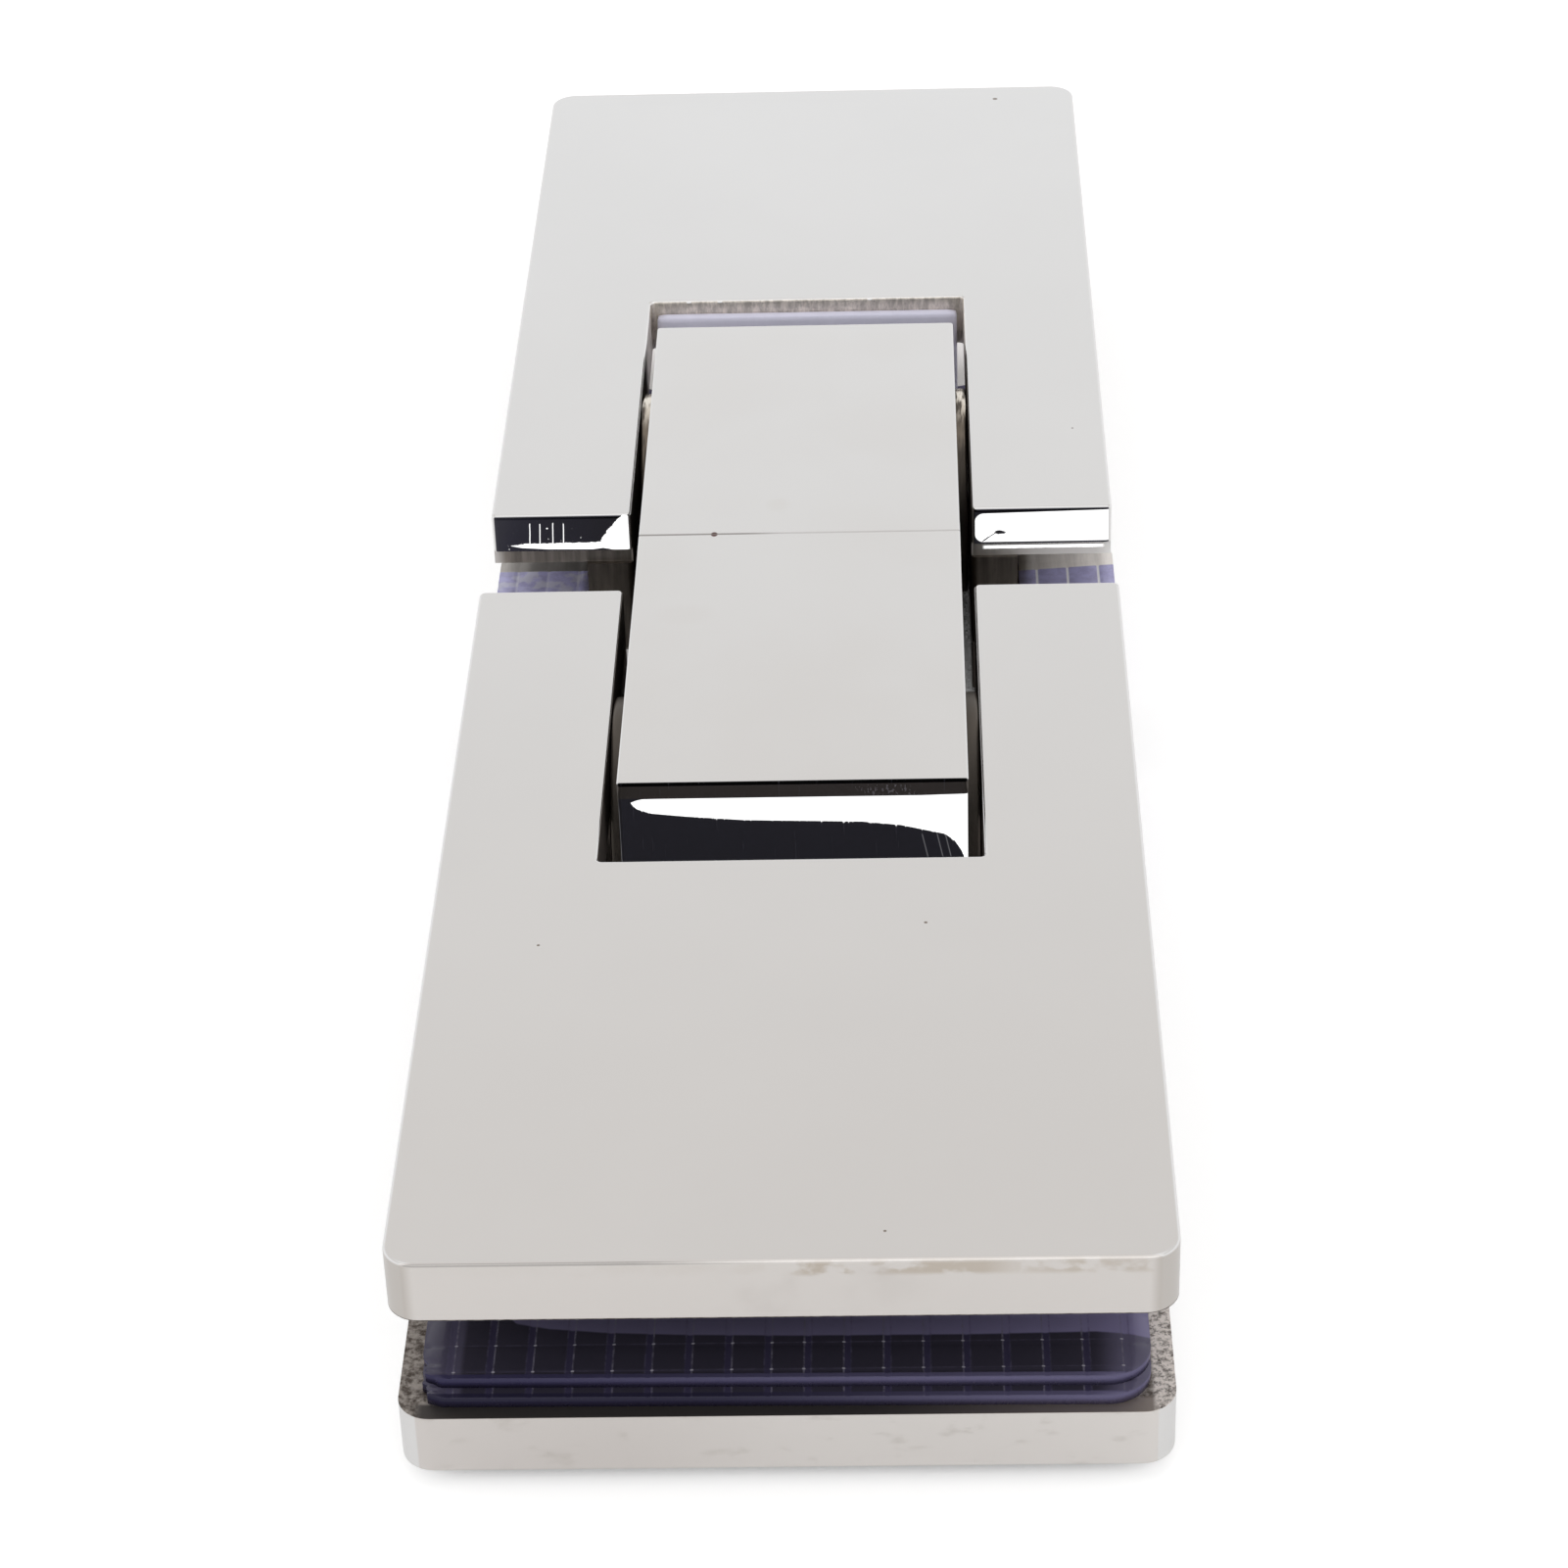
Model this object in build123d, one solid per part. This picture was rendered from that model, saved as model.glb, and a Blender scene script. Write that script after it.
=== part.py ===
from build123d import *
import os

# A straight glass to glass hinge clamp in polished stainless steel.
# It lies on its back. X runs along the pivot axes, Y along the hinge and Z up.
# The origin is in the middle of the underside of the centre block.
# All sizes are in millimetres.

# Leaves
leaf_width = 55.0
leaf_length = 90.0
leaf_gap = 13.0
plate_thickness = 5.0
plate_gap = 9.0
outer_corner_radius = 2.4
inner_corner_radius = 0.5
mouth_corner_radius = 0.5
notch_corner_radius = 0.4
edge_break = 0.25
notch_depth = 41.3
rebate_height = 1.4
rebate_depth = 0.4

# Ears that carry the pivot pin
ear_thickness = 4.1
ear_tail = 8.5
ear_tail_radius = 2.0

# Centre block
block_width = 28.0
block_length = 78.6
block_proud = 1.6
block_corner_radius = 0.3
block_edge_break = 0.15
seam_edge_break = 0.12

# Pivots
pivot_offset = 26.6
pin_diameter = 7.0
pin_flat_depth = 0.6
pin_flat_length = 10.4
bush_length = 8.0
bush_wall = 1.0
flange_thickness = 1.0
flange_edge_break = 0.25

# Spring and plungers
plunger_diameter = 10.0
plunger_length = 8.0
plunger_nose_radius = 2.2
plunger_pilot_diameter = 5.4
plunger_pilot_length = 3.0
spring_outer_diameter = 9.4
spring_wire_diameter = 1.5
spring_turns = 6

# Gaskets
gasket_thickness = 0.9
gasket_end_inset = 1.2
upper_gasket_setback = 1.0
gasket_side_inset = 1.7
gasket_leg_inset = 0.3
gasket_taper_length = 14.0
gasket_corner_radius = 3.2
gasket_mouth_inset = 0.3

# Pad on the end wall of the notch
pad_side_gap = 0.6
pad_thickness = 1.2
pad_inset = 1.2
pad_corner_radius = 0.9

# Clamp screws and their sleeves
clamp_from_wall = 9.5
clamp_spacing = 27.0
clamp_screw_diameter = 6.0
clamp_head_diameter = 11.8
clamp_thread_depth = 3.6
clamp_hole_play = 0.3
clamp_socket_width = 4.0
clamp_socket_depth = 2.2
sleeve_wall = 1.8

# Grub screws that lock the pins
grub_diameter = 3.0
grub_recess = 0.5
grub_socket_width = 1.5
grub_socket_depth = 1.6
grub_flat_depth = 0.5
grub_flat_length = 3.6

# Tie plate across the seam
tie_length = 44.0
tie_width = 20.0
tie_thickness = 1.9
tie_corner_radius = 3.0
tie_recess_floor = 0.2
tie_hole_along = 28.0
tie_hole_across = 14.0
tie_screw_diameter = 3.0
tie_screw_length = 7.0
tie_head_diameter = 5.6
tie_socket_width = 2.0
tie_socket_depth = 1.0
dowel_diameter = 4.0
dowel_length = 16.0
dowel_spacing = 20.0

# Fits and clearances
pin_running_fit = 0.03
seat_fit = 0.01
bore_fit = 0.05
flange_play = 0.1
plunger_play = 0.15
gasket_play = 0.4
tie_play = 0.1
screw_recess = 0.1
thread_end_play = 0.2
spring_end_play = 0.05

# Two places this close are the same place, when edges and corners are picked
same = 0.01
# A cut runs this far past the face where it starts
past = 1.0

# Worked out from the sizes above
leaf_thickness = 2 * plate_thickness + plate_gap
block_thickness = leaf_thickness + 2 * block_proud
axis_height = block_thickness / 2
back_face = block_proud
back_inner = back_face + plate_thickness
front_inner = back_inner + plate_gap
front_face = front_inner + plate_thickness
leaf_inner_end = leaf_gap / 2
leaf_outer_end = leaf_inner_end + leaf_length
notch_wall = leaf_inner_end + notch_depth
slot_width = flange_thickness + flange_play
notch_half_width = block_width / 2 + slot_width
ear_outer = notch_half_width + ear_thickness
pin_radius = pin_diameter / 2
bush_radius = pin_radius + pin_running_fit + bush_wall
flange_radius = leaf_thickness / 2
plunger_bore_radius = plunger_diameter / 2 + bore_fit
plunger_nose = pivot_offset - pin_radius - plunger_play
plunger_back = plunger_nose - plunger_length
gasket_stack_top = back_inner + 2 * gasket_thickness
gasket_outer_half_width = leaf_width / 2 - gasket_side_inset
gasket_inner_half_width = leaf_width / 2 - gasket_leg_inset
pad_half_width = notch_half_width - pad_side_gap
clamp_y = notch_wall + clamp_from_wall
clamp_hole_radius = clamp_screw_diameter / 2 + clamp_hole_play
sleeve_radius = clamp_hole_radius + sleeve_wall
clamp_places = [(side * clamp_spacing / 2, clamp_y) for side in (-1, 1)]
grub_places = [(side * (notch_half_width + ear_thickness / 2), pivot_offset) for side in (-1, 1)]
grub_tip = axis_height - pin_radius + grub_flat_depth
tie_places = [
    (side * tie_hole_across / 2, end * tie_hole_along / 2) for side in (-1, 1) for end in (-1, 1)
]
tie_seat = tie_recess_floor + tie_thickness


def upright(radius, low, high, place=(0, 0)):
    """A cylinder along Z between two heights."""
    return Pos(place[0], place[1], (low + high) / 2) * Cylinder(radius, high - low)


def crosswise(radius, low, high, y=0.0, z=axis_height):
    """A cylinder along X between two places."""
    return Pos((low + high) / 2, y, z) * Rot(0, 90, 0) * Cylinder(radius, high - low)


def lengthwise(radius, low, high, x=0.0, z=axis_height):
    """A cylinder along Y between two places."""
    return Pos(x, (low + high) / 2, z) * Rot(90, 0, 0) * Cylinder(radius, high - low)


def slab(low, high):
    """A box from its lowest to its highest corner."""
    middle = [(a + b) / 2 for a, b in zip(low, high)]
    return Pos(*middle) * Box(*[b - a for a, b in zip(low, high)])


def countersink(head_radius, shank_radius, low, place):
    """A cone that narrows upwards at 45 degrees from the head to the shank."""
    height = head_radius - shank_radius
    return Pos(place[0], place[1], low + height / 2) * Cone(head_radius, shank_radius, height)


def hex_socket(width, depth, low, place):
    """A hexagon recess that opens downwards."""
    return Pos(place[0], place[1], low) * extrude(
        RegularPolygon(width / 2, 6, major_radius=False), depth
    )


def round_corners(outline, radius, x, y):
    """Round the two corners of a flat outline that lie at plus and minus X and at one Y."""
    corners = [v for v in outline.vertices() if abs(abs(v.X) - x) < same and abs(v.Y - y) < same]
    return fillet(corners, radius)


def leaf_outline():
    """The U of a leaf, seen from above: a rectangle with a notch in its inner end."""
    wide = leaf_width / 2
    outline = make_face(
        Polyline(
            (-wide, leaf_inner_end),
            (-notch_half_width, leaf_inner_end),
            (-notch_half_width, notch_wall),
            (notch_half_width, notch_wall),
            (notch_half_width, leaf_inner_end),
            (wide, leaf_inner_end),
            (wide, leaf_outer_end),
            (-wide, leaf_outer_end),
            close=True,
        )
    )
    outline = round_corners(outline, outer_corner_radius, wide, leaf_outer_end)
    outline = round_corners(outline, inner_corner_radius, wide, leaf_inner_end)
    outline = round_corners(outline, mouth_corner_radius, notch_half_width, leaf_inner_end)
    return round_corners(outline, notch_corner_radius, notch_half_width, notch_wall)


def front_plate():
    """The plain front plate: broken edges, a shallow rebate and blind threaded holes behind."""
    plate = Pos(0, 0, front_inner) * extrude(leaf_outline(), plate_thickness)
    plate = fillet(plate.faces().sort_by(Axis.Z)[-1].edges(), edge_break)
    plate -= slab(
        (-leaf_width, leaf_inner_end - past, front_inner - past),
        (leaf_width, leaf_inner_end + rebate_depth, front_inner + rebate_height),
    )
    for place in clamp_places:
        top = front_inner + clamp_thread_depth
        plate -= upright(clamp_screw_diameter / 2 + seat_fit, front_inner - past, top, place)
    return plate


def ear_blank():
    """Both ears before drilling: strips along the notch, rounded at the top of the tail."""
    tail = pivot_offset + ear_tail
    blank = slab((-ear_outer, 0, back_inner), (ear_outer, tail, front_inner))
    top_edges = blank.edges().filter_by(Axis.X).group_by(Axis.Z)[-1]
    blank = fillet(top_edges.sort_by(Axis.Y)[-1], ear_tail_radius)
    outline = Pos(0, 0, back_inner) * extrude(leaf_outline(), plate_gap)
    return blank & outline


def back_plate():
    """The back plate and its ears, cast in one, drilled for the screws and the pin."""
    plate = Pos(0, 0, back_face) * extrude(leaf_outline(), plate_thickness)
    plate = fillet(plate.faces().sort_by(Axis.Z)[0].edges(), edge_break)
    plate += ear_blank()
    plate -= crosswise(pin_radius + seat_fit, -leaf_width, leaf_width, pivot_offset)
    for place in clamp_places:
        plate -= upright(clamp_hole_radius, back_face - past, back_inner + past, place)
        plate -= countersink(clamp_head_diameter / 2 + screw_recess, 0, back_face, place)
    for place in grub_places:
        plate -= upright(grub_diameter / 2 + seat_fit, back_face - past, axis_height, place)
    return plate


def gasket(level):
    """A thin U of soft sheet whose legs pass outside the ears."""
    mouth = leaf_inner_end + gasket_mouth_inset
    end = leaf_outer_end - gasket_end_inset - level * upper_gasket_setback
    cut = ear_outer + gasket_play
    taper = notch_wall + gasket_taper_length
    outline = make_face(
        Polyline(
            (-gasket_inner_half_width, mouth),
            (-cut, mouth),
            (-cut, notch_wall + gasket_play),
            (cut, notch_wall + gasket_play),
            (cut, mouth),
            (gasket_inner_half_width, mouth),
            (gasket_inner_half_width, notch_wall),
            (gasket_outer_half_width, taper),
            (gasket_outer_half_width, end),
            (-gasket_outer_half_width, end),
            (-gasket_outer_half_width, taper),
            (-gasket_inner_half_width, notch_wall),
            close=True,
        )
    )
    outline = round_corners(outline, gasket_corner_radius, gasket_outer_half_width, end)
    sheet = Pos(0, 0, back_inner + level * gasket_thickness) * extrude(outline, gasket_thickness)
    for place in clamp_places:
        sheet -= upright(clamp_hole_radius + clamp_hole_play, 0, front_inner, place)
    return sheet


def notch_pad():
    """The soft pad on the end wall of the notch, across both plates."""
    low = back_face + pad_inset
    high = front_face - pad_inset
    pad = slab((-pad_half_width, notch_wall - pad_thickness, low), (pad_half_width, notch_wall, high))
    return fillet(pad.edges().filter_by(Axis.Z).group_by(Axis.Y)[-1], pad_corner_radius)


def clamp_screws():
    """Countersunk screws from the back, through the glass, into the front plate."""
    low = back_face + screw_recess
    high = front_inner + clamp_thread_depth - thread_end_play
    screws = []
    for place in clamp_places:
        screw = upright(clamp_screw_diameter / 2, low, high, place)
        screw += countersink(clamp_head_diameter / 2, clamp_screw_diameter / 2, low, place)
        screws.append(screw - hex_socket(clamp_socket_width, clamp_socket_depth, low, place))
    return screws


def screw_sleeves():
    """Soft sleeves that keep the clamp screws off the glass."""
    sleeves = []
    for place in clamp_places:
        sleeve = upright(sleeve_radius, gasket_stack_top, front_inner, place)
        sleeves.append(sleeve - upright(clamp_hole_radius, 0, front_face, place))
    return sleeves


def pivot_pin():
    """The pin: three flats for the plunger at its middle, and a flat under each end for a grub."""
    pin = crosswise(pin_radius, -ear_outer, ear_outer, pivot_offset)
    flat = pin_radius - pin_flat_depth
    half = pin_flat_length / 2
    far = 2 * pin_radius
    pin -= slab(
        (-half, pivot_offset - far, axis_height - far), (half, pivot_offset - flat, axis_height + far)
    )
    for low, high in ((axis_height - far, axis_height - flat), (axis_height + flat, axis_height + far)):
        pin -= slab((-half, pivot_offset - far, low), (half, pivot_offset + far, high))
    for x, y in grub_places:
        half = grub_flat_length / 2
        pin -= slab((x - half, y - far, axis_height - far), (x + half, y + far, grub_tip))
    return pin


def pin_grubs():
    """Grub screws through the back plate, against the flats under the pin's ends."""
    low = back_face + grub_recess
    grubs = []
    for place in grub_places:
        grub = upright(grub_diameter / 2, low, grub_tip, place)
        grubs.append(grub - hex_socket(grub_socket_width, grub_socket_depth, low, place))
    return grubs


def half_block():
    """One half of the centre block, with its seam face at Y = 0."""
    half_width = block_width / 2
    half_length = block_length / 2
    block = slab((-half_width, 0, 0), (half_width, half_length, block_thickness))
    block = fillet(block.edges().filter_by(Axis.Z).group_by(Axis.Y)[-1], block_corner_radius)
    seam_edges = block.faces().sort_by(Axis.Y)[0].edges()
    block = chamfer(seam_edges.filter_by(Axis.X), seam_edge_break)
    for rim in (block.faces().sort_by(Axis.Z)[0], block.faces().sort_by(Axis.Z)[-1]):
        edges = [edge for edge in rim.edges() if edge.center().Y > 2 * seam_edge_break]
        block = fillet(edges, block_edge_break)
    block -= crosswise(bush_radius + seat_fit, -block_width, block_width, pivot_offset)
    block -= lengthwise(plunger_bore_radius, -past, pivot_offset)
    for side in (-1, 1):
        deep = dowel_length / 2 + thread_end_play
        block -= lengthwise(dowel_diameter / 2 + seat_fit, -past, deep, side * dowel_spacing / 2)
    block -= tie_outline(tie_play, -past, tie_seat)
    for place in tie_places:
        deep = tie_recess_floor + tie_screw_length + thread_end_play
        block -= upright(tie_screw_diameter / 2 + seat_fit, 0, deep, place)
    return block


def tie_outline(grow, low, high):
    """The tie plate's outline, grown by a clearance, between two heights."""
    outline = RectangleRounded(tie_width + 2 * grow, tie_length + 2 * grow, tie_corner_radius + grow)
    return Pos(0, 0, low) * extrude(outline, high - low)


def tie_plate():
    """The plate let into the underside that holds the two half blocks together."""
    plate = tie_outline(0, tie_recess_floor, tie_seat)
    for place in tie_places:
        plate -= upright(tie_screw_diameter / 2 + clamp_hole_play, 0, tie_seat + past, place)
        plate -= countersink(tie_head_diameter / 2 + screw_recess, 0, tie_recess_floor, place)
    return plate


def tie_screws():
    """Countersunk screws through the tie plate."""
    low = tie_recess_floor + screw_recess
    screws = []
    for place in tie_places:
        screw = upright(tie_screw_diameter / 2, low, low + tie_screw_length, place)
        screw += countersink(tie_head_diameter / 2, tie_screw_diameter / 2, low, place)
        screws.append(screw - hex_socket(tie_socket_width, tie_socket_depth, low, place))
    return screws


def dowels():
    """Two dowels across the seam."""
    half = dowel_length / 2
    return [
        lengthwise(dowel_diameter / 2, -half, half, side * dowel_spacing / 2) for side in (-1, 1)
    ]


def flanged_bush(side):
    """A bush in the half block whose flange fills the slot beside the block."""
    face = block_width / 2
    low, high = sorted((side * (face - bush_length), side * face))
    flange_low, flange_high = sorted((side * face, side * (face + flange_thickness)))
    flange = crosswise(flange_radius, flange_low, flange_high, pivot_offset)
    rims = flange.edges().filter_by(GeomType.CIRCLE)
    flange = fillet(rims.sort_by(Axis.X)[-1 if side > 0 else 0], flange_edge_break)
    bush = flange + crosswise(bush_radius, low, high, pivot_offset)
    return bush - crosswise(pin_radius + pin_running_fit, -block_width, block_width, pivot_offset)


def plunger():
    """A plunger with a rounded nose towards the pin and a pilot inside the spring."""
    body = lengthwise(plunger_diameter / 2, plunger_back, plunger_nose)
    body = fillet(body.edges().filter_by(GeomType.CIRCLE).sort_by(Axis.Y)[-1], plunger_nose_radius)
    return body + lengthwise(
        plunger_pilot_diameter / 2, plunger_back - plunger_pilot_length, plunger_back
    )


def plunger_spring():
    """One spring across the seam: round wire swept along a helix, a quarter turn at a time."""
    wire = spring_wire_diameter / 2
    reach = plunger_back - spring_end_play - wire
    quarters = 4 * spring_turns
    rise = 2 * reach / quarters
    path = Helix(4 * rise, rise, spring_outer_diameter / 2 - wire)
    quarter = sweep(Plane(path @ 0, z_dir=path % 0) * Circle(wire), path=path, is_frenet=True)
    coil = [Pos(0, 0, n * rise) * Rot(0, 0, n * 90) * quarter for n in range(quarters)]
    return Pos(0, reach, axis_height) * Rot(90, 0, 0) * coil[0].fuse(*coil[1:])


def turned(shape):
    """The same piece on the opposite side of the seam."""
    if isinstance(shape, list):
        return [Rot(0, 0, 180) * piece for piece in shape]
    return Rot(0, 0, 180) * shape


def save(shape, name):
    """Write one sub-part, a single solid or a group of fasteners."""
    whole = Compound(children=[piece.solid() for piece in shape]) if isinstance(shape, list) else shape
    export_step(whole, f"parts/{name}.step")


os.makedirs("parts", exist_ok=True)

leaf_pieces = {
    "front_plate": front_plate(),
    "back_plate": back_plate(),
    "lower_gasket": gasket(0),
    "upper_gasket": gasket(1),
    "notch_pad": notch_pad(),
    "clamp_screws": clamp_screws(),
    "screw_sleeves": screw_sleeves(),
    "pivot_pin": pivot_pin(),
    "pin_grubs": pin_grubs(),
    "half_block": half_block(),
    "left_bush": flanged_bush(-1),
    "right_bush": flanged_bush(1),
    "plunger": plunger(),
}
for name, shape in leaf_pieces.items():
    save(shape, f"panel_{name}")
    save(turned(shape), f"door_{name}")

save(plunger_spring(), "plunger_spring")
save(tie_plate(), "tie_plate")
save(tie_screws(), "tie_screws")
save(dowels(), "seam_dowels")
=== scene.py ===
"""Looks for a straight glass to glass hinge clamp of mirror polished steel.

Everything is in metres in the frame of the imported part, and the patterns count in millimetres.
"""

import math

import bpy
import numpy as np
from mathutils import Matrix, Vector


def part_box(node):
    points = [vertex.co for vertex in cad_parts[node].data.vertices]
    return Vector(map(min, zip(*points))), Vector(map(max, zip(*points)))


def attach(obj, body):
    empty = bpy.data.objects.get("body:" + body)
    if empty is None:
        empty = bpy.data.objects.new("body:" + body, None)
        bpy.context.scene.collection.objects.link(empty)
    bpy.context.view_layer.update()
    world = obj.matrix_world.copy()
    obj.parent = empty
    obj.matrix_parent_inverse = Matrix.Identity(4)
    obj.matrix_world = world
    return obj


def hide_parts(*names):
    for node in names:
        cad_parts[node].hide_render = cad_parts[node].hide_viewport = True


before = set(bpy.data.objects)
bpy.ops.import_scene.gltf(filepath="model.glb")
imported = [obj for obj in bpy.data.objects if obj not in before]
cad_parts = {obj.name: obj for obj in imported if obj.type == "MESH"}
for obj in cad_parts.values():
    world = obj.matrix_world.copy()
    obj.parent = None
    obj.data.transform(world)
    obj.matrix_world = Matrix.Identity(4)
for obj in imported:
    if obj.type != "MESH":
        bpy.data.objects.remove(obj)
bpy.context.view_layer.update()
mm = 0.001


def corners_of(node):
    """The lowest and highest corner of a solid, in millimetres."""
    return [np.array(corner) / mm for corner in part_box(node)]


# Places on the part, in millimetres. The panel leaf lies along +Y and the door leaf along -Y.
plate_low, plate_high = corners_of("panel_front_plate")
back_low = corners_of("panel_back_plate")[0]
pad_high = corners_of("panel_notch_pad")[1]
block_high = corners_of("panel_half_block")[1]
screws_low, screws_high = corners_of("panel_clamp_screws")
leaf_half_width = float(plate_high[0])
inner_end, outer_end = float(plate_low[1]), float(plate_high[1])
front_inner, front_face = float(plate_low[2]), float(plate_high[2])
back_face = float(back_low[2])
back_inner = back_face + front_face - front_inner
notch_wall = float(pad_high[1])
block_half_width, block_end, block_top = (float(value) for value in block_high)
slot_width = 1.1
ear_width = 4.1
rebate_height = 1.4
notch_half_width = block_half_width + slot_width
ear_outer = notch_half_width + ear_width
rebate_top = front_inner + rebate_height
clamp_head_radius = float(screws_high[1] - screws_low[1]) / 2
clamp_x = float(screws_high[0]) - clamp_head_radius
clamp_along = float(screws_low[1] + screws_high[1]) / 2

# The grid on the gaskets, in millimetres. Columns run along the leaf and rows across it.
grid_pitch = 2.812
first_column = 1.55
first_row = 0.87
groove_half = 0.28
groove_depth = 0.05

# The outline of the gaskets, in millimetres. The legs stand proud of the plates up to
# proud_end, lie inside them from inset_start, and the closed end is narrower.
gasket_hole_radius = 3.6
gasket_corner = 3.2
cut_clearance = 0.4
mouth_inset = 0.3
proud_end, inset_start = 19.0, 24.0
taper_end = notch_wall + 14.0
leg_proud, leg_inset, closed_inset = 0.8, 0.3, 1.7

# The closed end of the door's gaskets leans by rise over run, growing from lean_from_along on,
# and its left corner is tight and ragged.
door_lean = 0.4 / 48
lean_from_x = -24.0
lean_from_along, lean_growth = 80.0, 10.0
door_corner = 1.5
ragged_depth, ragged_length = 0.28, 2.6
ragged_waves = 7.3, 3.1

white = (1.0, 1.0, 1.0)
no_light = (0.0, 0.0, 0.0)


# Shader maths.


class Signal:
    """The value of one socket. Arithmetic on signals adds Math nodes to their tree."""

    def __init__(self, nodes, socket):
        self.nodes, self.socket = nodes, socket

    def outlet(self, name):
        """Another output of the node that made this signal."""
        return Signal(self.nodes, self.socket.node.outputs[name])

    def math(self, operation, *terms):
        return self.nodes.add("Math", {"operation": operation}, dict(enumerate(terms)))

    def __add__(self, other):
        return self.math("ADD", self, other)

    def __radd__(self, other):
        return self.math("ADD", other, self)

    def __sub__(self, other):
        return self.math("SUBTRACT", self, other)

    def __rsub__(self, other):
        return self.math("SUBTRACT", other, self)

    def __mul__(self, other):
        return self.math("MULTIPLY", self, other)

    def __rmul__(self, other):
        return self.math("MULTIPLY", other, self)

    def __truediv__(self, other):
        return self.math("DIVIDE", self, other)

    def __rtruediv__(self, other):
        return self.math("DIVIDE", other, self)

    def __neg__(self):
        return self.math("MULTIPLY", self, -1.0)

    def __abs__(self):
        return self.math("ABSOLUTE", self)


class Nodes:
    """The node tree of one material or world, and the one method that adds a node to it."""

    def __init__(self, tree):
        self.tree = tree
        tree.nodes.clear()

    def add(self, kind, settings=(), inputs=(), output=0):
        """Add a node: its settings first, then the values or links of its sockets."""
        node = self.tree.nodes.new("ShaderNode" + kind)
        for name, value in dict(settings).items():
            if name == "stops":
                while len(node.color_ramp.elements) < len(value):
                    node.color_ramp.elements.new(1.0)
                for stop, (place, colour) in zip(node.color_ramp.elements, value):
                    stop.position, stop.color = place, (*colour, 1)
            else:
                setattr(node, name, value)
        for name, value in dict(inputs).items():
            socket = node.inputs[name]
            if isinstance(value, Signal):
                self.tree.links.new(value.socket, socket)
            elif isinstance(value, tuple) and len(value) < len(socket.default_value):
                socket.default_value = (*value, 1)
            else:
                socket.default_value = value
        return Signal(self, node.outputs[output]) if len(node.outputs) else None

    def mix(self, mask, low, high):
        """The colour low where the mask is 0, and high where it is 1."""
        return self.add("Mix", {"data_type": "RGBA"}, {0: mask, 6: low, 7: high}, output=2)

    def larger(self, first, second):
        return self.add("Math", {"operation": "MAXIMUM"}, {0: first, 1: second})

    def step(self, value, low, high):
        """0 at low, 1 at high, and a smooth change between. High may be the smaller one."""
        ends = {"From Min": low, "From Max": high}
        if low > high:
            ends = {"From Min": high, "From Max": low, "To Min": 1.0, "To Max": 0.0}
        return self.add(
            "MapRange", {"interpolation_type": "SMOOTHSTEP"}, {"Value": value, **ends}
        )

    def between(self, value, low, high, soft=0.05):
        """1 between low and high, fading to 0 over a soft margin outside them."""
        return self.step(value, low - soft, low) * self.step(value, high + soft, high)

    def from_nearest(self, value, first):
        """Millimetres past the nearest line of a grid that has one line at first."""
        turns = (value - first) / grid_pitch
        return (turns - turns.math("ROUND", turns)) * grid_pitch

    def line(self, value, place, half, soft=0.04):
        """1 within half of a place."""
        return self.step(abs(value - place), half + soft, half)

    def spot(self, first, second, place, size, soft=0.4):
        """1 inside an ellipse about a place in two coordinates, with a soft share of its size."""
        across, up = (first - place[0]) / size[0], (second - place[1]) / size[1]
        return self.step(across * across + up * up, 1.0, (1 - soft) ** 2)

    def curve(self, value, points):
        """The height at a value along a line through points (value, height)."""
        values, heights = zip(*points)
        start, span = values[0], values[-1] - values[0]
        low, rise = min(heights), max(heights) - min(heights)
        stops = [((v - start) / span, 3 * ((h - low) / rise,)) for v, h in points]
        share = self.add("ValToRGB", {"stops": stops}, {0: (value - start) / span})
        return low + rise * share


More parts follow.
